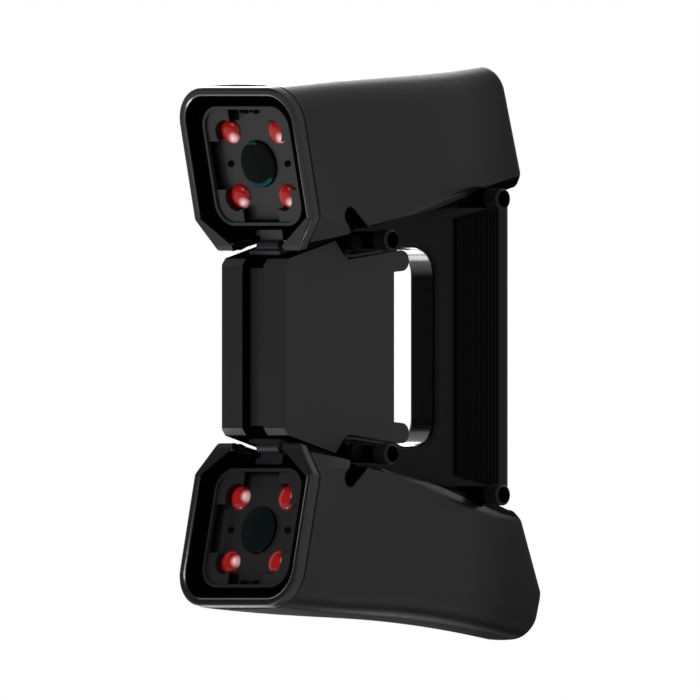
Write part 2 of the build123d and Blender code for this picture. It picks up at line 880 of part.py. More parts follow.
# Link clips: a leaf that stands up through the head's tray, a knuckle and a leaf on the block
waist_height = leaf_top - leaf_height + pod_proud
knuckle_height = block_top(knuckle_depth) + knuckle_radius / cos(block_lean)
block_top_plane = Plane(
    (0, y_at(knuckle_depth), block_top(knuckle_depth)),
    x_dir=(1, 0, 0),
    z_dir=(0, -sin(block_lean), cos(block_lean)),
)
with BuildPart() as link_clip:
    with BuildSketch(behind(leaf_depth + leaf_thickness)) as leaf_shape:
        with Locations((0, leaf_top - leaf_height / 2 - head_drop)):
            Rectangle(2 * leaf_half_width, leaf_height)
        with Locations((0, waist_height / 2 - pod_proud - head_drop)):
            Rectangle(2 * waist_half_width, waist_height)
    extrude(leaf_shape.sketch, amount=leaf_thickness)
    with BuildSketch(Plane.YZ) as knuckle_shape:
        with Locations((y_at(knuckle_depth), knuckle_height)):
            Circle(knuckle_radius)
    extrude(knuckle_shape.sketch, amount=knuckle_half_width, both=True)
    with BuildSketch(block_top_plane) as low_leaf_shape:
        Rectangle(2 * leaf_half_width, low_leaf_length)
    extrude(low_leaf_shape.sketch, amount=low_leaf_thickness)
finish_heads(link_clip, "link_clip")

# Grip frame: one thick plate with a rounded finger window, horns to the cameras and bosses
finger_gap = window_rear_depth - window_front_depth
window_corner = min(finger_corner, finger_gap / 2 - finger_round)
with BuildSketch(Plane.YZ) as finger_window:
    with Locations((y_at(window_front_depth + finger_gap / 2), 0)):
        RectangleRounded(finger_gap, 2 * finger_half_height, window_corner)
with BuildSketch(Plane.YZ) as boss_shape:
    with Locations((y_at(boss_depth), boss_height), (y_at(boss_depth), -boss_height)):
        Circle(boss_radius)
with BuildSketch(Plane.YZ) as spacer_shape:
    with Locations((y_at(spacer_depth), spacer_height), (y_at(spacer_depth), -spacer_height)):
        Circle(spacer_radius)

with BuildPart() as grip_frame:
    extrude(frame_outline(0), amount=frame_half, both=True)
    extrude(finger_window.sketch, amount=frame_half, both=True, mode=Mode.SUBTRACT)
    window_edges = [
        edge
        for face in grip_frame.faces().filter_by(Axis.X)
        for edge in face.inner_wires()[0].edges()
    ]
    fillet(window_edges, finger_round)
    rear_edges = grip_frame.edges().filter_by(Axis.Z).group_by(Axis.Y)[-1]
    fillet(rear_edges, frame_rear_round)
    extrude(boss_shape.sketch, amount=boss_reach, both=True)
    extrude(spacer_shape.sketch, amount=cover_half_width, both=True)
finish(grip_frame, "grip_frame")

# Ribbed grip pads, cut to the slope of the pods
with BuildSketch(Plane.YZ.offset(frame_half)) as pad_shape:
    with BuildLine():
        Polyline(
            (y_at(pad_front_depth), -pad_front_height),
            (y_at(pad_front_depth), pad_front_height),
            (y_at(pad_rear_depth), pad_rear_height),
            (y_at(pad_rear_depth), -pad_rear_height),
            close=True,
        )
    make_face()
pad_depth = pad_rear_depth - pad_front_depth
rib_pitch = (pad_depth - pad_rib_width) / (pad_rib_count - 1)
with BuildSketch(Plane.YZ.offset(frame_half + pad_base)) as rib_shape:
    with Locations((y_at((pad_front_depth + pad_rear_depth) / 2), 0)):
        with GridLocations(rib_pitch, 0, pad_rib_count, 1):
            Rectangle(pad_rib_width, 2 * pad_front_height)
with BuildPart() as grip_pad:
    extrude(pad_shape.sketch, amount=pad_base)
    extrude(rib_shape.sketch, amount=pad_rib_height)
finish_sides(grip_pad, "grip_pad")

# Side posts: round studs with a wider head and a blind hole in its end
with BuildPart() as side_posts:
    places = [(y, z * side) for y, z in post_places for side in (1, -1)]
    with BuildSketch(Plane.YZ.offset(frame_half)) as post_shape:
        with Locations(*places):
            Circle(post_radius)
    extrude(post_shape.sketch, amount=post_reach - frame_half)
    with BuildSketch(Plane.YZ.offset(post_reach - post_head_length)) as head_shape:
        with Locations(*places):
            Circle(post_head_radius)
    extrude(head_shape.sketch, amount=post_head_length)
    chamfer(side_posts.faces().group_by(Axis.X)[-1].edges(), post_chamfer)
    with BuildSketch(Plane.YZ.offset(post_reach)) as post_holes:
        with Locations(*places):
            Circle(post_hole_radius)
    extrude(post_holes.sketch, amount=-post_hole_depth, mode=Mode.SUBTRACT)
finish_sides(side_posts, "side_posts")

# Main board on standoffs beside the frame's front bar
board_face = frame_half + main_board_gap
standoff_depth = main_board_front + standoff_inset
with BuildPart() as board_standoffs:
    with BuildSketch(Plane.YZ.offset(frame_half)) as standoff_shape:
        with Locations((y_at(standoff_depth + standoff_pitch / 2), 0)):
            with GridLocations(
                standoff_pitch, 2 * (main_board_half_height - standoff_inset), 2, 2
            ):
                Circle(standoff_radius)
    extrude(standoff_shape.sketch, amount=main_board_gap)
finish(board_standoffs, "board_standoffs")

with BuildPart() as main_board:
    with BuildSketch(Plane.YZ.offset(board_face)) as main_board_shape:
        with Locations((y_at(main_board_front + main_board_length / 2), 0)):
            Rectangle(main_board_length, 2 * main_board_half_height)
    extrude(main_board_shape.sketch, amount=board_thickness)
    with BuildSketch(Plane.YZ.offset(board_face + board_thickness)) as chip_shape:
        with Locations((y_at(main_board_front + main_board_length / 2), 0)):
            with GridLocations(0, 2 * chip_size, 1, 2):
                Rectangle(chip_size, chip_size)
    extrude(chip_shape.sketch, amount=chip_height)
finish(main_board, "main_board")

# Keypad plate in the top pod's rear face, with posts that carry its board
keys = {
    "mode_key": (mode_key_height, mode_key_radius),
    "plus_key": (plus_key_height, plus_key_radius),
    "scan_key": (scan_key_height, scan_key_radius),
    "minus_key": (minus_key_height, minus_key_radius),
}
flange_width = keypad_width + 2 * keypad_flange
flange_height = keypad_height + 2 * keypad_flange
plate_back = pod_wall + keypad_flange
key_stop = plate_back + key_gap
key_back = key_stop + key_flange
board_front = key_back + key_travel + key_gap + switch_height
post_column = flange_width / 2 - keypad_post_radius
post_row = flange_height / 2 - keypad_post_radius

with BuildSketch(keypad_plane.offset(keypad_proud)) as keypad_shape:
    RectangleRounded(keypad_width, keypad_height, keypad_radius)
with BuildSketch(keypad_plane.offset(-pod_wall)) as keypad_flange_shape:
    RectangleRounded(flange_width, flange_height, keypad_radius + keypad_flange)
with BuildSketch(keypad_plane.offset(keypad_proud)) as key_holes:
    for height, radius in keys.values():
        with Locations((0, height)):
            Circle(radius + key_gap)
with BuildSketch(keypad_plane.offset(-plate_back)) as keypad_posts:
    with GridLocations(2 * post_column, 2 * post_row, 2, 2):
        Circle(keypad_post_radius)
with BuildPart() as keypad_plate:
    extrude(keypad_shape.sketch, amount=-pod_wall - keypad_proud)
    extrude(keypad_flange_shape.sketch, amount=-keypad_flange)
    extrude(key_holes.sketch, amount=-plate_back - keypad_proud, mode=Mode.SUBTRACT)
    extrude(keypad_posts.sketch, amount=plate_back - board_front)
finish(keypad_plate, "keypad_plate")

# Keys: a domed cap through the plate and a flange behind it
for key_name, (height, radius) in keys.items():
    with BuildSketch(keypad_plane.offset(-key_back)) as key_flange_shape:
        with Locations((0, height)):
            Circle(radius + key_flange_lap)
    with BuildSketch(keypad_plane.offset(-key_stop)) as key_cap_shape:
        with Locations((0, height)):
            Circle(radius)
    with BuildPart() as key:
        extrude(key_flange_shape.sketch, amount=key_flange)
        extrude(key_cap_shape.sketch, amount=key_stop + keypad_proud + key_proud)
        fillet(key.faces().sort_by(Axis.Y)[-1].edges(), key_proud / 2)
    finish(key, key_name)

with BuildPart() as keypad_board:
    with BuildSketch(keypad_plane.offset(-board_front)) as keypad_board_shape:
        Rectangle(flange_width, flange_height)
    extrude(keypad_board_shape.sketch, amount=-board_thickness)
finish(keypad_board, "keypad_board")

with BuildPart() as key_switches:
    with BuildSketch(keypad_plane.offset(-board_front)) as switch_shape:
        for height, radius in keys.values():
            with Locations((0, height)):
                Circle(switch_radius)
    extrude(switch_shape.sketch, amount=switch_height)
finish(key_switches, "key_switches")

# Cable socket below the ridge of the bottom pod, drawn raised like its pod and then mirrored
def finish_socket(piece, name):
    """Write the mirror image of a piece that was drawn raised."""
    with BuildPart() as lowered:
        mirror(piece.part, about=Plane.XY)
    finish(lowered, name)


insert_radius = socket_radius - socket_step
with BuildPart() as socket_shell:
    with BuildSketch(socket_plane) as socket_flange_shape:
        Circle(socket_body_radius + socket_flange)
    extrude(socket_flange_shape.sketch, amount=socket_flange_thickness)
    chamfer(
        socket_shell.faces().sort_by(Axis.Y)[-1].edges(), socket_flange_thickness / 3
    )
    with BuildSketch(socket_plane) as socket_body_shape:
        Circle(socket_body_radius)
    extrude(socket_body_shape.sketch, amount=-socket_back)
    with BuildSketch(socket_plane.offset(socket_flange_thickness)) as socket_bore:
        Circle(socket_radius)
    extrude(socket_bore.sketch, amount=-socket_clear_depth, mode=Mode.SUBTRACT)
    with BuildSketch(socket_plane.offset(-socket_back)) as insert_bore:
        Circle(insert_radius + socket_fit)
    extrude(insert_bore.sketch, amount=socket_length, mode=Mode.SUBTRACT)
finish_socket(socket_shell, "cable_socket")

insert_front = socket_clear_depth - socket_flange_thickness
with BuildPart() as socket_insert:
    with BuildSketch(socket_plane.offset(-insert_front)) as insert_shape:
        Circle(insert_radius)
        with PolarLocations(contact_circle, contact_count):
            Circle(contact_radius, mode=Mode.SUBTRACT)
    extrude(insert_shape.sketch, amount=insert_front - socket_back)
finish_socket(socket_insert, "socket_insert")

with BuildPart() as socket_nut:
    with BuildSketch(socket_plane.offset(-pod_wall)) as nut_shape:
        RegularPolygon(nut_radius, 6)
        Circle(socket_body_radius + socket_fit, mode=Mode.SUBTRACT)
    extrude(nut_shape.sketch, amount=-nut_thickness)
finish_socket(socket_nut, "socket_nut")

with BuildPart() as interface_board:
    with BuildSketch(socket_plane.offset(-socket_back)) as interface_shape:
        Rectangle(interface_width, interface_height)
    extrude(interface_shape.sketch, amount=-board_thickness)
finish_socket(interface_board, "interface_board")
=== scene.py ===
# %% [markdown]
# # Dressing a hand-held stereo scanner
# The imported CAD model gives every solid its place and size. This lesson adds what a solid lacks:
# the grain of the mouldings, the coated lenses, the red lamps with their cups, small parts on the
# boards, and the marks on the keys. Everything is in the frame of the CAD model, in metres, and
# each new piece rides on one of its bodies. Sizes are written in millimetres, as on a drawing.

# %% Load the frame
import json
from math import cos, pi, radians, sin

import bmesh
import bpy
from mathutils import Matrix, Vector


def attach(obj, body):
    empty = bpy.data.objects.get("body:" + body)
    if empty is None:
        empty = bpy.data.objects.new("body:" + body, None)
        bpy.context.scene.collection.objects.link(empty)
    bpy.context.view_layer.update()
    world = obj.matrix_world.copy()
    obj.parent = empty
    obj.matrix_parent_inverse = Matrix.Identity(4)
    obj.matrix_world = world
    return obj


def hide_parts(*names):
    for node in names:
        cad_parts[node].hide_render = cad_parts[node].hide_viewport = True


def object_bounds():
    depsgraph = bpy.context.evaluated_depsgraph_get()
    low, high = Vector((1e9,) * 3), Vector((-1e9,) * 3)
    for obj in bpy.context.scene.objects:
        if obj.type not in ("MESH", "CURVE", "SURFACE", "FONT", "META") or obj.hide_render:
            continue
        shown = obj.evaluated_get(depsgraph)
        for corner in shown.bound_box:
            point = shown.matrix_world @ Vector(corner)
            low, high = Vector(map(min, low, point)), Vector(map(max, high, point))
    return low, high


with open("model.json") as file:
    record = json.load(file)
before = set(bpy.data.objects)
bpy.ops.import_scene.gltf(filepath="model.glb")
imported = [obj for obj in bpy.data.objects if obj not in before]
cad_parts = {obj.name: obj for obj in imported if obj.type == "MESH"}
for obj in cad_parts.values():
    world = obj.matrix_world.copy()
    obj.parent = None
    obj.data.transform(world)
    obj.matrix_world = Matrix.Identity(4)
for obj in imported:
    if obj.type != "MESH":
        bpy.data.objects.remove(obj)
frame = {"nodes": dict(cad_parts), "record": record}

MM = 0.001
cad_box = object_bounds()
nodes = frame["nodes"]
slot_of = {part["node"]: part["material_slot"] for part in frame["record"]["subparts"]}
scene = bpy.context.scene
print(f"{len(nodes)} CAD nodes, box {[round(v / MM, 1) for corner in cad_box for v in corner]} mm")

# %% [markdown]
# ## Camera
# The photograph has no perspective: edges that run away from us stay parallel, and the front and
# the side of the centre block are equally wide for their size. A long lens far away would come
# close to that, but an orthographic camera gives it exactly. It is level with the grip and turned
# 45 degrees to the right of the front.

# %% Camera
view_width = 350 * MM
view_centre = Vector((-39.15, -39.15, -1.5)) * MM
towards_camera = Vector((1, -1, 0)).normalized()
camera_distance = 1.5

camera_data = bpy.data.cameras.new("photo_camera")
camera_data.type = "ORTHO"
camera_data.ortho_scale = view_width
camera = bpy.data.objects.new("photo_camera", camera_data)
camera.location = view_centre + towards_camera * camera_distance
camera.rotation_euler = towards_camera.to_track_quat("Z", "Y").to_euler()
scene.collection.objects.link(camera)
scene.camera = camera
scene.view_settings.view_transform = "Standard"
print("camera at", [round(v, 3) for v in camera.location])

# %% [markdown]
# ## Shader expressions
# A material is easier to read as a sum than as a page of nodes. `Value` wraps one socket, and
# arithmetic on it adds Math nodes. `ShaderNodes` holds the nodes of a material or of the world and
# makes every other node in one method. `Finish` is such a set of nodes for one material, and sets
# what is the same all over on the shader's own sockets.

# %% Shader values
class Value:
    """What one output socket gives. Arithmetic on a number adds Math nodes."""

    def __init__(self, home, socket):
        self.home = home
        self.socket = socket

    def maths(self, operation, first, second=0.0):
        made = self.home.node("ShaderNodeMath", {"operation": operation}, {0: first, 1: second})
        return made["Value"]

    def __add__(self, other):
        return self.maths("ADD", self, other)

    def __sub__(self, other):
        return self.maths("SUBTRACT", self, other)

    def __rsub__(self, other):
        return self.maths("SUBTRACT", other, self)

    def __mul__(self, other):
        return self.maths("MULTIPLY", self, other)

    def __pow__(self, other):
        return self.maths("POWER", self, other)

    def __gt__(self, other):
        return self.maths("GREATER_THAN", self, other)

    def __lt__(self, other):
        return self.maths("LESS_THAN", self, other)

    def __abs__(self):
        return self.maths("ABSOLUTE", self)

    def at_least(self, other):
        return self.maths("MAXIMUM", self, other)

    def at_most(self, other):
        return self.maths("MINIMUM", self, other)

    __radd__ = __add__
    __rmul__ = __mul__


def spread(first, second):
    """Length of the hypotenuse over two values."""
    return (first * first + second * second) ** 0.5


def ramp(value, start, slope, most):
    """Zero up to a start, then rising with a slope up to a most."""
    return ((value - start) * slope).at_least(0.0).at_most(most)


print("shader values ready")

# %% Shader nodes
class ShaderNodes:
    """The nodes of one material or of the world."""

    def __init__(self, tree):
        self.tree = tree

    def node(self, kind, settings=None, inputs=None):
        """Add a node: its settings first, then the values or links of its sockets."""
        made = self.tree.nodes.new(kind)
        for setting, value in (settings or {}).items():
            setattr(made, setting, value)
        for socket, value in (inputs or {}).items():
            self.feed(made.inputs[socket], value)
        return {output.name: Value(self, output) for output in made.outputs if output.enabled}

    def feed(self, socket, value):
        """Link a value to a socket, or set a plain number on it."""
        if isinstance(value, Value):
            self.tree.links.new(value.socket, socket)
        else:
            socket.default_value = value

    def blend(self, factor, first, second):
        """Mix of two colours."""
        inputs = {0: factor, 6: first, 7: second}
        return self.node("ShaderNodeMix", {"data_type": "RGBA"}, inputs)["Result"]


def grey(level, tint=(1.0, 1.0, 1.0)):
    """A neutral colour with a slight tint."""
    return (level * tint[0], level * tint[1], level * tint[2], 1.0)


print("shader nodes ready")

# %% Finishes
# Dead black, the colour of painted shade.
shade_black = grey(0.0008)


class Finish(ShaderNodes):
    """One node material, named after the finish it gives."""

    def __init__(self, name, constants):
        self.material = bpy.data.materials.new(name)
        self.material.use_nodes = True
        super().__init__(self.material.node_tree)
        self.surface = self.tree.nodes["Principled BSDF"]
        for socket, value in constants.items():
            self.surface.inputs[socket].default_value = value
        self.place = self.node("ShaderNodeTexCoord")["Object"]

    def axes(self):
        """Place on the object in millimetres: across, along and up."""
        parts = self.node("ShaderNodeSeparateXYZ", inputs={"Vector": self.place})
        return [parts[axis] * (1 / MM) for axis in "XYZ"]

    def noise(self, size, detail=2.0):
        """Noise whose patches are about this many millimetres across."""
        inputs = {"Vector": self.place, "Scale": 1 / (size * MM), "Detail": detail}
        return self.node("ShaderNodeTexNoise", inputs=inputs)["Fac"]

    def give(self, socket, value):
        """Feed one socket of the shader."""
        self.feed(self.surface.inputs[socket], value)

    def bump(self, height, depth):
        """Raise the surface by a height of 0 to 1 times this many millimetres."""
        inputs = {"Height": height, "Distance": depth * MM, "Strength": 1.0}
        self.give("Normal", self.node("ShaderNodeBump", inputs=inputs)["Normal"])

    def paint_shade(self, where):
        """Paint shade: turn the surface dead black where a mask is one."""
        inputs = {"Base Color": shade_black, "Roughness": 1.0, "Specular IOR Level": 0.0}
        matt = self.node("ShaderNodeBsdfPrincipled", inputs=inputs)["BSDF"]
        inputs = {0: where, 1: Value(self, self.surface.outputs["BSDF"]), 2: matt}
        mixed = self.node("ShaderNodeMixShader", inputs=inputs)["Shader"]
        self.feed(self.tree.nodes["Material Output"].inputs["Surface"], mixed)


print("finishes ready")

# %% [markdown]
# ## Masks for a head
# The recess round each lamp cover lies in the deepest shade of a head, which a mask paints on as
# dead black. The lip in front of it is the glossiest, and the edge of the pod round the bezel is
# painted palest, as light. They could be separate pieces with a finish each, but on the object they
# are parts of one moulding. So the finish finds them itself: a mask is one where a place on the
# object lies inside a region. The heads mirror each other, and a height counted from the middle
# serves both.

# %% Head masks
grip_reach = 147.0  # front of the centre block before the origin
head_tilt = radians(12.5)
head_height = 89.4
head_lead = 5.4  # front of a head before the centre block
rim_core = 22.9  # half the square between the middles of the rim's round corners
rim_drop = 0.9  # middle of the rim under the lens
recess_reach, recess_start = 14.75, 0.7
lip_reach, lip_start = 16.2, 0.05
pod_edge = 6.2


def in_head(finish):
    """Place across, up and behind the front of a head, in millimetres."""
    x, y, z = finish.axes()
    back = y + (grip_reach + head_lead)
    rise = abs(z) - head_height
    up = rise * cos(head_tilt) - back * sin(head_tilt)
    behind = back * cos(head_tilt) + rise * sin(head_tilt)
    return x, up, behind


def within_rim(finish, reach, start):
    """One inside the rim of the bezel, to a reach round its corners, behind a start."""
    x, up, behind = in_head(finish)
    side = (abs(x) - rim_core).at_least(0.0)
    lift = (abs(up + rim_drop) - rim_core).at_least(0.0)
    return (spread(side, lift) < reach) * (behind > start)


def tray_mask(finish):
    """One in the recess of the bezel, behind its lip: painted shade."""
    return within_rim(finish, recess_reach, recess_start)


def lip_mask(finish):
    """One on the lip of the bezel and behind it."""
    return within_rim(finish, lip_reach, lip_start)


def edge_mask(finish):
    """One on the narrow edge of the pod that shows round the bezel, painted paler as light."""
    behind = in_head(finish)[2]
    return behind < pod_edge


print("head masks ready")

# %% [markdown]
# ## Masks for the centre block and the posts
# The groove in the centre block, its flared ends, and the shanks and holes of the posts are painted
# dead black as shade. The same kind of mask finds them, so that one finish serves each moulding.

# %% Block and post masks
flare_slope, flare_height, flare_depth = 0.268, 43.4, 44.0
groove_half, groove_start = 7.66, 0.4
front_post, rear_post = Vector((-88.0, 53.5)), Vector((-9.4, 74.0))  # along and up
post_dark_radius, post_shank_end = 4.1, 30.95


def flare_mask(finish):
    """One on the sloping top and bottom of the centre block: painted shade."""
    _, y, z = finish.axes()
    depth = y + grip_reach
    return (abs(z) - depth * flare_slope > flare_height) * (depth < flare_depth)


def block_mask(finish):
    """One on the flared top and bottom, and on the walls of the groove: painted shade."""
    x, y, _ = finish.axes()
    groove = (abs(x) < groove_half) * (y > groove_start - grip_reach)
    return groove.at_least(flare_mask(finish))


def post_mask(finish):
    """One on the shanks of the posts, and in and round their holes: painted shade."""
    x, y, z = finish.axes()
    front, rear = [spread(y - post.x, abs(z) - post.y) for post in (front_post, rear_post)]
    return (front.at_most(rear) < post_dark_radius).at_least(abs(x) < post_shank_end)


print("block and post masks ready")

# %% [markdown]
# ## Masks for the pods and the frame
# A band of painted shade runs from each front post into the side of a pod and ends in the dark.
# The edge of a pod beside the grip and its rear get softer painted shade, so their masks stay below
# one. In the frame, only the ends of the finger window shine, and the bare rear edge is painted
# paler than the rest, as light.

# %% Pod and frame masks
# Ends and half width of the band of painted shade from the front post into a pod.
shade_band_start = Vector((49.0 - grip_reach, 50.8))  # along and up
shade_band_end = Vector((30.0 - grip_reach, 65.5))
shade_band_half = 5.2
shade_start, shade_slope, shade_height, shade_strength = 57.0, 0.162, 60.4, 0.92
window_middle, window_core_half, window_core_rise, window_reach = -43.95, 2.6, 35.4, 14.3
window_fade = 0.2  # growth of the shine for each millimetre into the round end
frame_bare_edge = 16.2


def shade_band_mask(finish):
    """One along the band of painted shade that runs from the front post into the side of a pod."""
    _, y, z = finish.axes()
    whole = shade_band_end - shade_band_start
    along = whole.normalized()
    off_y, off_z = y - shade_band_start.x, abs(z) - shade_band_start.y
    run = (off_y * along.x + off_z * along.y).at_least(0.0).at_most(whole.length)
    away = spread(off_y - run * along.x, off_z - run * along.y)
    return (shade_band_half - away).at_least(0.0).at_most(1.0)


def pod_mask(finish):
    """Painted shade: the dark band, and softer shade along the edge beside the grip and towards the
    rear.
    """
    _, y, z = finish.axes()
    depth = y + grip_reach
    swell = ramp(depth, start=92.0, slope=0.11, most=7.0)
    edge = (depth - shade_start) * shade_slope + shade_height + swell
    beside_grip = (abs(z) < edge) * shade_strength
    rear = ramp(depth, start=125.0, slope=0.012, most=0.4)
    return shade_band_mask(finish).at_least(beside_grip).at_least(rear)


def window_mask(finish):
    """One on the walls at the ends of the finger window, fading towards its middle."""
    _, y, z = finish.axes()
    side = (abs(y - window_middle) - window_core_half).at_least(0.0)
    lift = (abs(z) - window_core_rise).at_least(0.0)
    return (spread(side, lift) < window_reach) * (lift * window_fade).at_most(1.0)


def rear_mask(finish):
    """One on the bare edge of the frame behind the pads, painted paler as light."""
    _, y, _ = finish.axes()
    return y > frame_bare_edge


print("pod and frame masks ready")

# %% [markdown]
# ## Moulded plastic
# Almost all of this object is black plastic, and black parts differ by their grain, gloss and the
# light they throw back. Each could have a material of its own design, but one function makes them
# alike and easy to compare: a fine grain in the bump, patches a few millimetres wide in the
# roughness, and a colour that drifts a little over the part. A mask paints shade into part of it as
# dead black, another paints light into part of it as a paler colour, and a third coats part of it.

# %% Moulded plastic
colour_patch, gloss_patch = 28, 6
drift = 0.12
pale_times = 5


def moulded(
    name, level, tint=(1, 1, 1), rough=0.5, spec=0.2, grain=0.5, depth=0.02,
    mask=None, pale=None, polish=None,
):
    """Black moulding with a grain of a given size and depth in millimetres."""
    finish = Finish(name, {"Specular IOR Level": spec, "Coat Roughness": 0.15})
    darker, lighter = grey(level * (1 - drift), tint), grey(level * (1 + drift), tint)
    colour = finish.blend(finish.noise(colour_patch), darker, lighter)
    # Painted light: a paler colour where this mask is one.
    if pale:
        colour = finish.blend(pale(finish), colour, grey(level * pale_times, tint))
    if polish:
        finish.give("Coat Weight", polish(finish))
    finish.give("Base Color", colour)
    finish.give("Roughness", finish.noise(gloss_patch) * drift + (rough - drift / 2))
    finish.bump(finish.noise(grain), depth)
    # Painted shade: dead black where this mask is one.
    if mask:
        finish.paint_shade(mask(finish))
    return finish.material


print("plastics can be made")

# %% [markdown]
# ## The plastics of this object
# A plastic has a level, which is its grey in linear light, then its roughness and gloss, and the
# size and depth of its grain. The shells are darker than they look, because in a white room much of
# their grey is gloss.

# %% Plastic finishes
# A slight blue tint, painted: it stands for the cold light that the faces of these plastics reflect.
painted_cold_tint = (1, 1, 1.15)
plastics = {
    "pod_plastic": dict(
        level=0.008, rough=0.34, spec=0.12, grain=0.6, depth=0.012, mask=pod_mask, pale=edge_mask
    ),
    "frame_plastic": dict(
        level=0.002, rough=0.34, spec=0.06, grain=0.6, depth=0.012, pale=rear_mask, polish=window_mask
    ),
    "bezel_plastic": dict(
        level=0.006, tint=painted_cold_tint, rough=0.34, spec=0.28, grain=0.8, depth=0.006,
        mask=tray_mask, polish=lip_mask,
    ),
    "cover_plastic": dict(level=0.010, rough=0.36, spec=0.3, grain=0.8, depth=0.006),
    "lamp_board": dict(level=0.009, tint=painted_cold_tint, rough=0.36, spec=0.32, grain=0.6, depth=0.005),
    "connector_plastic": dict(level=0.001, rough=0.8, spec=0.03, depth=0.006),
    "black_metal": dict(level=0.001, rough=0.8, spec=0.03, depth=0.006),
    # The blue tints of the clips and the centre block are painted cold light as well.
    "clip_plastic": dict(level=0.012, tint=(0.95, 1, 1.2), rough=0.36, spec=0.35, depth=0.006),
    "block_plastic": dict(
        level=0.011, tint=(1, 1, 1.12), rough=0.4, spec=0.17, grain=0.6, depth=0.006, mask=block_mask
    ),
    "plate_plastic": dict(
        level=0.012, rough=0.4, spec=0.17, grain=0.7, depth=0.005, mask=flare_mask
    ),
    "pad_rubber": dict(level=0.0038, rough=0.85, spec=0.04, grain=0.4, depth=0.03),
    "post_plastic": dict(level=0.007, rough=0.45, spec=0.12, depth=0.01, mask=post_mask),
    "keypad_plastic": dict(level=0.006, rough=0.25, spec=0.35, depth=0.004),
    "key_rubber": dict(level=0.035, rough=0.65, spec=0.2, grain=0.4, depth=0.02),
    "scan_rubber": dict(level=0.16, tint=(1, 0.1, 0.08), rough=0.6, spec=0.2, depth=0.02),
    "window_glass": dict(level=0.018, rough=0.22, spec=0.3, grain=3, depth=0.002),
}
finishes = {name: moulded(name, **look) for name, look in plastics.items()}
print(f"{len(finishes)} plastics")

# %% [markdown]
# ## Metals and boards
# The few parts that are not black plastic: blackened and bare metal, and green boards inside.
# Turned metal could show its rings, but these parts are small or hidden, so a fine grain and a
# drift in the gloss are enough.

# %% Metal and board finishes
def metal(name, colour, rough, metallic=1.0):
    """Turned metal: a fine grain and a slight drift in its gloss."""
    finish = Finish(name, {"Metallic": metallic})
    patches = finish.noise(4)
    darker = tuple(0.8 * c for c in colour[:3]) + (1.0,)
    finish.give("Base Color", finish.blend(patches, darker, colour))
    finish.give("Roughness", patches * 0.15 + (rough - 0.07))
    finish.bump(finish.noise(0.25), 0.006)
    return finish.material


finishes["camera_metal"] = metal("camera_metal", (0.004, 0.004, 0.004, 1), 0.6, 0.0)
finishes["brass_parts"] = metal("brass_parts", (0.6, 0.42, 0.18, 1), 0.35)
finishes["switch_metal"] = metal("switch_metal", (0.55, 0.55, 0.56, 1), 0.35)
finishes["socket_metal"] = metal("socket_metal", (0.09, 0.09, 0.095, 1), 0.38)

board = Finish("circuit_board", {"Specular IOR Level": 0.4})
board_green = board.blend(board.noise(3), (0.006, 0.07, 0.022, 1), (0.012, 0.11, 0.035, 1))
board.give("Base Color", board_green)
board.give("Roughness", board.noise(1.5) * 0.2 + 0.3)
board.bump(board.noise(0.8), 0.02)
finishes["circuit_board"] = board.material
print(f"{len(finishes)} finishes so far")

# %% [markdown]
# ## Red lamps
# The lamps are clear red mouldings over a bright chip. Real glass with a light inside would be
# slow, and a baked model would lose it, so the finish paints light and shade into the colour: a
# deep red that darkens away from the axis of each dome as painted shade, almost black in the cup
# beside it, where the lamp's red is painted dim in the shade of the tab, and a pale spot that is a
# painted highlight. In the top head the spot lies low in every lamp, and in the bottom head it
# shows to one side in the left pair alone.

# %% Lamp finish
lamp_spread = 16.6  # lamps from the lens, across and up
lamp_radius = 6.45
# The painted highlight: its radius, its place and its strength.
highlight_radius = 3.6
highlight_side, highlight_side_shift = 5.2, 2.2  # from the lamp's axis, and how much less in the top head
highlight_drop, highlight_drop_shift = 0.5, 2.9  # the same downwards, and how much more in the top head
highlight_gain = 1.6
dome_edge = 1.003  # share of the radius where the cup begins
lamp_red = (0.36, 0.008, 0.009, 1)
# Painted shade: the dome's red darkens to this at its edge.
dome_shade_red = (0.17, 0.003, 0.004, 1)
# Painted: the lamp's red on the cup wall, dim in the shade of the tab.
cup_light_in_shade = (0.010, 0.001, 0.001, 1)
# Painted highlight: a pale spot on the lamp.
highlight_pink = (0.9, 0.5, 0.5, 1)
speck_red = (0.45, 0.012, 0.014, 1)

lamp = Finish("red_lamp", {"Specular IOR Level": 0.2, "Coat Weight": 0.1, "Coat Roughness": 0.08})
x, up, _ = in_head(lamp)
from_axis = spread(abs(x) - lamp_spread, abs(up) - lamp_spread) * (1 / lamp_radius)
red = lamp.blend(from_axis ** 2, lamp_red, dome_shade_red)
red = lamp.blend(from_axis > dome_edge, red, cup_light_in_shade)

in_top = lamp.axes()[2] > 0.0
column = ((x > 0.0) * 2.0 - 1.0) * lamp_spread
row = ((up > 0.0) * 2.0 - 1.0) * lamp_spread
highlight_x = x - column - highlight_side + in_top * highlight_side_shift
highlight_up = up - row + highlight_drop + in_top * highlight_drop_shift
painted_highlight = (1.0 - spread(highlight_x, highlight_up) * (1 / highlight_radius)).at_least(0.0) * in_top.at_least(x < 0.0)
red = lamp.blend((painted_highlight * highlight_gain).at_most(1.0), red, highlight_pink)
lamp.give("Base Color", lamp.blend(lamp.noise(1.5) * 0.1, red, speck_red))
lamp.give("Roughness", lamp.noise(1) * 0.1 + 0.16)
finishes["red_lamp"] = lamp.material
print("lamp finish ready")

# %% [markdown]
# ## Lens glass
# A lens is dark glass whose coating throws back a teal light, seen as crescents along the upper
# and lower edge of the top lens. A real coating is a thin film that no simple shader has, so each
# crescent is a painted reflection: the part of the glass outside a circle that lies a little off the
# lens axis, tinted teal. The top lens is also painted darker than the bottom one, as shade.

# %% Lens finish
deep_low = (0.003, 0.005, 0.0055, 1)
deep_high = (0.005, 0.008, 0.008, 1)
# Painted shade: the top lens is darker than the bottom one.
top_lens_shade = (0.0005, 0.001, 0.001, 1)
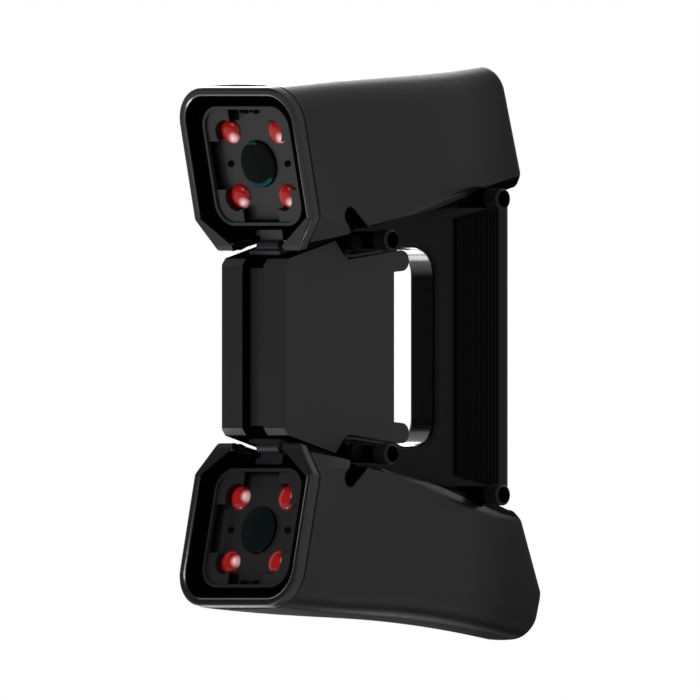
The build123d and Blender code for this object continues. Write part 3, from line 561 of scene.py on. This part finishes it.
# Painted reflection: the teal of the crescents.
teal_reflection = (0.006, 0.09, 0.11, 1)
arc_start = 7.0  # crescents begin this far above and below the lens axis
lower_middle, lower_radius = Vector((-1.4, 2.4)), 12.3
upper_middle, upper_radius, upper_end = Vector((-2.4, -1.0)), 11.2, 0.6

glass = Finish("lens_glass", {"Specular IOR Level": 0.04})
x, up, _ = in_head(glass)
in_top = glass.axes()[2] > 0.0
outside_lower = spread(x - lower_middle.x, up - lower_middle.y) > lower_radius
outside_upper = spread(x - upper_middle.x, up - upper_middle.y) > upper_radius
lower_arc = outside_lower * (up < -arc_start)
upper_arc = outside_upper * (up > arc_start) * (x < upper_end)
crescents = lower_arc.at_least(upper_arc) * in_top
deep = glass.blend(glass.noise(5), deep_low, deep_high)
deep = glass.blend(in_top * 0.9, deep, top_lens_shade)
glass.give("Base Color", glass.blend(crescents * glass.noise(2.5), deep, teal_reflection))
glass.give("Roughness", glass.noise(4) * 0.08 + 0.2)
finishes["lens_glass"] = glass.material
print("lens finish ready")

# %% [markdown]
# ## Finishes on the CAD nodes
# Each solid of the CAD model has a material slot in its record, and the finishes carry the names of
# those slots. So one loop dresses every node, and a node whose shape is right needs nothing more.

# %% Give each CAD node its finish
for name, node in nodes.items():
    node.data.materials.clear()
    node.data.materials.append(finishes[slot_of[name]])
print(f"{len(finishes)} finishes on {len(nodes)} nodes")

# %% [markdown]
# ## Building in the frame of a head
# Each head leans towards the middle, so its small parts are easiest to draw flat: across, up and
# out from the front of the bezel. One matrix lays such a drawing on the top head, and a mirror
# turns it into the bottom one.

# %% Frames of the heads
tip_up = Matrix.Rotation(head_tilt + pi / 2, 4, "X")
head_origin = Matrix.Translation((0, -grip_reach - head_lead, head_height))
top_head = Matrix.Scale(MM, 4) @ head_origin @ tip_up
heads = {"top": top_head, "bottom": Matrix.Diagonal((1, 1, -1, 1)) @ top_head}
print("heads at", [round(v, 4) for v in top_head.translation], "and its mirror")

# %% Piece helpers
def add_piece(name, shape, slot, place, body="scanner", stands_for=(), sharp=35):
    """Lay a shape drawn in millimetres in its place, as a piece that rides on a body."""
    bmesh.ops.transform(shape, matrix=place, verts=shape.verts)
    bmesh.ops.recalc_face_normals(shape, faces=shape.faces)
    mesh = bpy.data.meshes.new(name)
    shape.to_mesh(mesh)
    shape.free()
    mesh.shade_smooth()
    mesh.set_sharp_from_angle(angle=radians(sharp))
    mesh.materials.append(finishes[slot])
    piece = bpy.data.objects.new(name, mesh)
    scene.collection.objects.link(piece)
    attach(piece, body)
    if stands_for:
        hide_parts(*stands_for)
    print(name, len(mesh.polygons), "faces")


print("pieces can be placed")

# %% [markdown]
# ## Shapes that repeat
# Lamps, cups, lenses and the ring on a key are turned shapes: a profile spun round an axis. Board
# parts, walls, ribs and bars are small blocks with rounded edges. Pads and webs are trimmed by a
# plane. Each of these is one helper round Blender's own operators.

# %% Shape helpers
full_turn_steps, part_turn_steps = 48, 20


def spun(shape, profile, centre, turn=2 * pi, start=0.0):
    """Spin a profile of (radius, out) points round an upright axis."""
    ray = Vector((cos(start), sin(start), 0))
    middle = Vector((centre[0], centre[1], 0))
    verts = [shape.verts.new(middle + ray * radius + Vector((0, 0, out))) for radius, out in profile]
    edges = [shape.edges.new(pair) for pair in zip(verts, verts[1:])]
    full = turn >= 2 * pi
    steps = full_turn_steps if full else part_turn_steps
    bmesh.ops.spin(
        shape, geom=verts + edges, cent=middle, axis=(0, 0, 1), angle=turn, steps=steps, use_merge=full
    )
    bmesh.ops.remove_doubles(shape, verts=shape.verts, dist=0.001)


def block(shape, low, high, edge):
    """Block between two corners with rounded edges."""
    made = bmesh.ops.create_cube(shape, size=1.0)["verts"]
    size = [b - a for a, b in zip(low, high)]
    middle = [(a + b) / 2 for a, b in zip(low, high)]
    bmesh.ops.scale(shape, vec=size, verts=made)
    bmesh.ops.translate(shape, vec=middle, verts=made)
    edges = list({e for v in made for e in v.link_edges})
    bmesh.ops.bevel(
        shape, geom=edges, offset=edge, segments=2, profile=0.5, affect="EDGES", material=-1
    )


def only(geometry, kind):
    """The parts of one kind among those that an operator returns."""
    return [part for part in geometry if isinstance(part, kind)]


def cut_off(shape, point, normal):
    """Cut off what lies in front of a plane, and close the cut."""
    geometry = shape.verts[:] + shape.edges[:] + shape.faces[:]
    cut = bmesh.ops.bisect_plane(
        shape, geom=geometry, dist=0.001, plane_co=point, plane_no=normal, clear_outer=True
    )["geom_cut"]
    bmesh.ops.holes_fill(shape, edges=only(cut, bmesh.types.BMEdge))


print("shape helpers ready")

# %% [markdown]
# ## Lamps
# Seen at a slant, each lamp is a shallow red dome that lies deep behind the tabs of the lamp
# cover, and on the far side its red light is painted, dim in the tab's shade, on the wall between
# tab and board. Squashed spheres would give the domes, but a dome and a part of a cup are both one
# profile, spun all the way round or only under the tab, and a profile shows where the dome flattens.

# %% Lamps and cups
board_out = -10.4
tab_out = -7.0
dome_profile = [
    (0.0, -7.9), (1.6, -7.95), (3.2, -8.15), (4.6, -8.55), (5.6, -9.1), (6.2, -9.7),
    (lamp_radius, board_out),
]
cup_inside, cup_outside = 6.5, 6.72
cup_profile = [
    (cup_inside, board_out), (cup_inside, tab_out), (cup_outside, tab_out), (cup_outside, board_out),
    (cup_inside, board_out),
]
cup_turn = radians(160)
corners = [(sx, sy) for sx in (1, -1) for sy in (1, -1)]

for head, place in heads.items():
    lamps = bmesh.new()
    cups = bmesh.new()
    for sx, sy in corners:
        centre = (sx * lamp_spread, sy * lamp_spread)
        spun(lamps, dome_profile, centre)
        outward = Vector((sx, sy)).angle_signed(Vector((1, 0)))
        spun(cups, cup_profile, centre, turn=cup_turn, start=outward - cup_turn / 2)
    bmesh.ops.holes_fill(cups, edges=[e for e in cups.edges if e.is_boundary])
    add_piece(f"{head}_lamp_domes", lamps, "red_lamp", place, stands_for=[f"{head}_led_lamps"])
    add_piece(f"{head}_lamp_cups", cups, "red_lamp", place)

# %% [markdown]
# ## Lenses
# The front glass of a lens is a shallow crown with a ground bevel round it. A cut from a sphere
# would have no bevel and no seat, so the whole section is drawn, from the crown to the back, and
# spun.

# %% Lens glasses
lens_profile = [
    (0.0, -8.6), (4.0, -8.65), (8.0, -8.8), (10.6, -8.98), (11.5, -9.1), (11.7, -9.3), (11.7, -9.7),
    (11.1, -9.9), (11.1, -11.6), (0.0, -11.6),
]
for head, place in heads.items():
    lens = bmesh.new()
    spun(lens, lens_profile, (0, 0))
    add_piece(f"{head}_lens", lens, "lens_glass", place, stands_for=[f"{head}_lens_glass"])

# %% [markdown]
# ## Parts on the lamp board
# Along the outer edge of each lamp board sits a row of dark parts: one square one over a lamp, and
# four small ones beside it. A dark pattern in the board's finish would show them from the front
# alone, so they are small blocks that stand on the board.

# %% Board parts
part_height = 0.9
board_parts = [  # middle across and up, half width and half height
    (-13.0, 24.9, 3.2, 2.3), (-7.2, 26.8, 0.6, 0.6), (-4.2, 26.6, 1.5, 0.9), (-0.4, 26.8, 0.6, 0.6),
    (3.4, 26.6, 1.5, 0.9),
]
for head, place in heads.items():
    parts = bmesh.new()
    for across, up, half_width, half_height in board_parts:
        low = (across - half_width, up - half_height, board_out)
        high = (across + half_width, up + half_height, board_out + part_height)
        block(parts, low, high, edge=0.15)
    stands_for = [f"{head}_board_connector"]
    add_piece(f"{head}_board_parts", parts, "connector_plastic", place, stands_for=stands_for)

# %% [markdown]
# ## Lips of the bezels
# Where the front of the rim turns into the recess, a narrow lip catches the light as a bright
# line. A strip could be laid along that edge, but a moulding has it in one piece: a merged copy of
# the bezel is bevelled along the sharp edges that lie in its front face.

# %% Bezels with a lip
lip_width = 1.2
front_tolerance = 0.02
flat_angle = radians(1)
square_tolerance = radians(8)
for head, place in heads.items():
    bezel = bmesh.new()
    bezel.from_mesh(nodes[f"{head}_bezel"].data)
    bmesh.ops.transform(bezel, matrix=place.inverted(), verts=bezel.verts)
    bmesh.ops.remove_doubles(bezel, verts=bezel.verts, dist=0.001)
    bmesh.ops.dissolve_limit(bezel, angle_limit=flat_angle, verts=bezel.verts, edges=bezel.edges)
    in_front = [
        edge for edge in bezel.edges if all(abs(vert.co.z) < front_tolerance for vert in edge.verts)
    ]
    square = [edge for edge in in_front if abs(edge.calc_face_angle(0) - pi / 2) < square_tolerance]
    bmesh.ops.bevel(
        bezel, geom=square, offset=lip_width, segments=2, profile=0.5, affect="EDGES", material=-1
    )
    print(head, len(square), "edges in the lip")
    add_piece(f"{head}_rim", bezel, "bezel_plastic", place, stands_for=[f"{head}_bezel"], sharp=20)

# %% [markdown]
# ## Walls beside the clips
# The gap in each chin is closed at both sides by a small black wall and a sill, dark blocks put
# where only shade shows, so no light shows past the clip from the far side. A mask can't close a
# gap, so these are two plain blocks a side, with their edges rounded.

# %% Chin walls
clip_edge, wall_inside, wall_outside = 11.2, 16.6, 17.8
wall_low, wall_high, wall_front = -42.0, -30.5, -9.4
sill_low, sill_high, sill_front = -41.2, -39.6, -3.0
chin_back = -21.0
for head, place in heads.items():
    walls = bmesh.new()
    for side in (1, -1):
        left, right = sorted((side * wall_inside, side * wall_outside))
        block(walls, (left, wall_low, chin_back), (right, wall_high, wall_front), edge=0.2)
        left, right = sorted((side * clip_edge, side * wall_outside))
        block(walls, (left, sill_low, chin_back), (right, sill_high, sill_front), edge=0.2)
    # Dark blocks that stand for the shade in the gap of the chin.
    add_piece(f"{head}_chin_shade_blocks", walls, "connector_plastic", place)

# %% [markdown]
# ## Webs of the chins
# At both ends of a chin the rim widens into a flat web, cut off along a slant. A web is drawn as
# one face with five corners and extruded to a plate. A bevel along the chin would be too steep, so
# a shallow cut slopes it off there, and that slope catches the light from below.

# %% Chin webs
web_outline = [(37.6, -25.6), (17.9, -39.6), (17.9, -41.6), (28.4, -41.6), (40.4, -26.2)]
web_back, web_face = -3.0, 0.45
slope_start, slope_angle = -39.7, radians(14)
for head, place in heads.items():
    webs = bmesh.new()
    for side in (1, -1):
        back = webs.faces.new([webs.verts.new((side * x, up, web_back)) for x, up in web_outline])
        made = bmesh.ops.extrude_face_region(webs, geom=[back], use_keep_orig=True)["geom"]
        front = only(made, bmesh.types.BMVert)
        bmesh.ops.translate(webs, verts=front, vec=(0, 0, web_face - web_back))
    cut_off(webs, (0, slope_start, web_face), (0, -sin(slope_angle), cos(slope_angle)))
    add_piece(f"{head}_chin_webs", webs, "bezel_plastic", place, sharp=8)

# %% [markdown]
# ## Grip pads
# Each pad is a thin rubber sheet with upright ribs. Ribs in the bump alone would vanish at a slant,
# so the sheet and its ribs are blocks, and two sloping cuts trim them to the line of the pods above
# and below.

# %% Grip pads
pad_face, sheet_thickness, rib_root, rib_top = 9.5, 1.0, 0.9, 1.8
pad_front, pad_rear = -13.2, 15.8
pad_end, pad_slope = 64.4, 0.19
pad_reach = 72  # half the uncut height
rib_count, rib_half = 13, 0.6
rib_step = (pad_rear - pad_front - 2 * rib_half) / (rib_count - 1)
for side, side_name in ((1, "right"), (-1, "left")):
    pad = bmesh.new()
    low = (pad_face, pad_front, -pad_reach)
    block(pad, low, (pad_face + sheet_thickness, pad_rear, pad_reach), edge=0.2)
    for rib in range(rib_count):
        y = pad_front + rib_half + rib * rib_step
        low = (pad_face + rib_root, y - rib_half, -pad_reach)
        block(pad, low, (pad_face + rib_top, y + rib_half, pad_reach), edge=0.25)
    for rise in (1, -1):
        cut_off(pad, (0, pad_front, rise * pad_end), (0, -pad_slope, rise))
    place = Matrix.Scale(MM, 4) @ Matrix.Diagonal((side, 1, 1, 1))
    add_piece(f"{side_name}_pad", pad, "pad_rubber", place, stands_for=[f"{side_name}_grip_pad"])

# %% [markdown]
# ## Rails in the notches
# Inside each notch of a side plate, a thin rail follows the notch: down, round the corner and back
# along its floor. Two blocks would meet in a hard corner, so a bent line is drawn, rounded, widened
# across the object and given a thickness.

# %% Notch rails
rail_line = [(-101.2, 57.5), (-101.2, 45.6), (-75.0, 48.6)]
rail_inside, rail_width, rail_thickness, rail_bend = 14.0, 6.2, 1.2, 4.0
for side, side_name in ((1, "right"), (-1, "left")):
    for rise, rise_name in ((1, "top"), (-1, "bottom")):
        rail = bmesh.new()
        verts = [rail.verts.new((rail_inside, y, z)) for y, z in rail_line]
        for pair in zip(verts, verts[1:]):
            rail.edges.new(pair)
        bmesh.ops.bevel(
            rail, geom=[verts[1]], offset=rail_bend, segments=6, profile=0.5, affect="VERTICES",
            material=-1,
        )
        made = bmesh.ops.extrude_edge_only(rail, edges=rail.edges)["geom"]
        bmesh.ops.translate(rail, verts=only(made, bmesh.types.BMVert), vec=(rail_width, 0, 0))
        bmesh.ops.solidify(rail, geom=rail.faces, thickness=rail_thickness)
        place = Matrix.Scale(MM, 4) @ Matrix.Diagonal((side, 1, rise, 1))
        add_piece(f"{side_name}_{rise_name}_notch_rail", rail, "plate_plastic", place)

# %% [markdown]
# ## Marks on the keys
# The plus and minus keys carry their sign, the scan key a ring and the mode key a short bar, in a
# pale print. Text objects could write them, but bars and a ring are simpler. The face of each key
# is found from its own mesh, and each mark rides on its key.

# %% Print of the keys
key_print = Finish("key_print", {"Specular IOR Level": 0.2})
key_print.give("Base Color", key_print.blend(key_print.noise(0.6), grey(0.42), grey(0.55)))
key_print.give("Roughness", key_print.noise(1.0) * 0.2 + 0.5)
finishes["key_print"] = key_print.material
print(f"{len(finishes)} finishes in all")

# %% Key marks
keypad_run, keypad_rise = 156.3 - 173.0, 141.5 - 80.8  # lean of the keypad, along and up
keypad_out = Vector((0, keypad_rise, -keypad_run)).normalized()
keypad_up = Vector((0, keypad_run, keypad_rise)).normalized()
keypad_axes = Matrix((Vector((-1, 0, 0)), keypad_up, keypad_out)).transposed().to_4x4()
mark_sunk, mark_proud = -0.05, 0.08
ring_inside, ring_outside = 2.2, 2.8
ring_profile = [
    (ring_inside, mark_sunk), (ring_inside, mark_proud), (ring_outside, mark_proud),
    (ring_outside, mark_sunk), (ring_inside, mark_sunk),
]
bars = {"plus_key": [(1.9, 0.4), (0.4, 1.9)], "minus_key": [(1.9, 0.4)], "mode_key": [(0.5, 1.3)]}
for key in ("plus_key", "minus_key", "mode_key", "scan_key"):
    points = [vert.co for vert in nodes[key].data.vertices]
    face = max(point.dot(keypad_out) for point in points) / MM
    heights = [point.dot(keypad_up) / MM for point in points]
    middle = keypad_up * ((min(heights) + max(heights)) / 2) + keypad_out * face
    mark = bmesh.new()
    for half_width, half_height in bars.get(key, []):
        low = (-half_width, -half_height, mark_sunk)
        block(mark, low, (half_width, half_height, mark_proud), edge=0.03)
    if key == "scan_key":
        spun(mark, ring_profile, (0, 0))
    place = Matrix.Scale(MM, 4) @ Matrix.Translation(middle) @ keypad_axes
    add_piece(f"{key}_mark", mark, "key_print", place, body=key)

# %% [markdown]
# ## White surroundings
# The photograph has a white background. Brighter lamps would also light up the black object, so
# the world is white to the camera, to reflections and to rays through glass, and a plain grey to
# everything else: the background costs no extra light on the object.

# %% World
world = bpy.data.worlds.new("studio")
world.use_nodes = True
scene.world = world
sky = ShaderNodes(world.node_tree)
path = sky.node("ShaderNodeLightPath")
seen = path["Is Camera Ray"].at_least(path["Is Glossy Ray"]).at_least(path["Is Transmission Ray"])
sky.feed(sky.tree.nodes["Background"].inputs["Color"], sky.blend(seen, grey(0.3), grey(1.0)))
print("world ready")

# %% [markdown]
# ## Lamps of the studio
# Strong soft light comes from the left, above and below, as on a light table, and weak light from
# the front and the right. One large lamp would wash out the edges, so each glossy edge has its own
# small lamp, in the direction in which that edge mirrors the camera.

# %% Lamps of the studio
grip_middle = Vector((0, -0.04, 0))


def area_lamp(name, direction, distance, size, power):
    """Square area lamp that faces the grip from a direction."""
    away = Vector(direction).normalized()
    data = bpy.data.lights.new(name, "AREA")
    data.size = size
    data.energy = power
    lamp_object = bpy.data.objects.new(name, data)
    lamp_object.location = grip_middle + away * distance
    lamp_object.rotation_euler = away.to_track_quat("Z", "Y").to_euler()
    lamp_object.visible_camera = False
    scene.collection.objects.link(lamp_object)


area_lamp("front_low_lamp", (-0.34, -0.65, -0.68), distance=1.2, size=0.3, power=4)
area_lamp("front_high_lamp", (-0.12, -0.92, 0.36), distance=1.3, size=0.3, power=3)
area_lamp("left_low_lamp", (-0.7, -0.1, -0.7), distance=1.2, size=0.4, power=3.5)
area_lamp("left_under_lamp", (-0.7, 0.3, -0.63), distance=1.2, size=0.4, power=3.5)
area_lamp("left_high_lamp", (-0.7, 0.54, 0.455), distance=1.2, size=0.4, power=3.5)
area_lamp("back_lamp", (-0.6, 0.6, 0.5), distance=1.4, size=0.8, power=5.0)
area_lamp("back_low_lamp", (-0.45, 0.72, -0.52), distance=1.3, size=0.25, power=0.4)
area_lamp("side_lamp", (0.9, -0.5, 0.25), distance=1.0, size=0.7, power=1.2)
area_lamp("front_lamp", (0.3, -1.0, 0.35), distance=1.4, size=0.9, power=2)
print(len(bpy.data.lights), "studio lamps")

# %% [markdown]
# ## Floor and cards
# The object stands on a plain pale floor, which takes its shadow. The floor itself throws none and
# shows in no reflection, because the low lamps shine up through it, as through a light table. In a
# white room every glossy black face turns grey, so a photographer holds black cards just outside
# the picture. Two are used here, one in front and one behind on the left, low down: they are seen
# by reflections alone, and keep the front faces and the undersides of the pods dark.

# %% Floor and cards
def stage_sheet(name, half_size, place, low_colour, high_colour):
    """Flat stage piece with a matt paint."""
    sheet = bmesh.new()
    bmesh.ops.create_grid(sheet, x_segments=1, y_segments=1, size=half_size)
    bmesh.ops.transform(sheet, matrix=place, verts=sheet.verts)
    mesh = bpy.data.meshes.new(name)
    sheet.to_mesh(mesh)
    sheet.free()
    paint = Finish(f"{name}_paint", {"Specular IOR Level": 0.1})
    paint.give("Base Color", paint.blend(paint.noise(60), grey(low_colour), grey(high_colour)))
    paint.give("Roughness", paint.noise(20) * 0.1 + 0.75)
    mesh.materials.append(paint.material)
    made = bpy.data.objects.new(name, mesh)
    scene.collection.objects.link(made)
    return made


floor_gap = 0.5 * MM
floor_level = Matrix.Translation((0, 0, cad_box[0].z - floor_gap))
floor = stage_sheet("studio_floor", 3.0, floor_level, low_colour=0.86, high_colour=0.9)
floor.visible_shadow = False
floor.visible_glossy = False
upright = Matrix.Rotation(pi / 2, 4, "X")
turned_left = Matrix.Rotation(pi / 4, 4, "Z")
card_places = {
    "front_card": Matrix.Translation((-0.5, -1.4, 1.9)) @ upright,
    "back_card": Matrix.Translation((-1.3, 1.3, -1.8)) @ turned_left @ upright,
}
for name, place in card_places.items():
    card = stage_sheet(name, 2.0, place, low_colour=0.01, high_colour=0.014)
    for ray in ("camera", "diffuse", "transmission", "shadow"):
        setattr(card, f"visible_{ray}", False)
print("floor and", len(card_places), "cards")
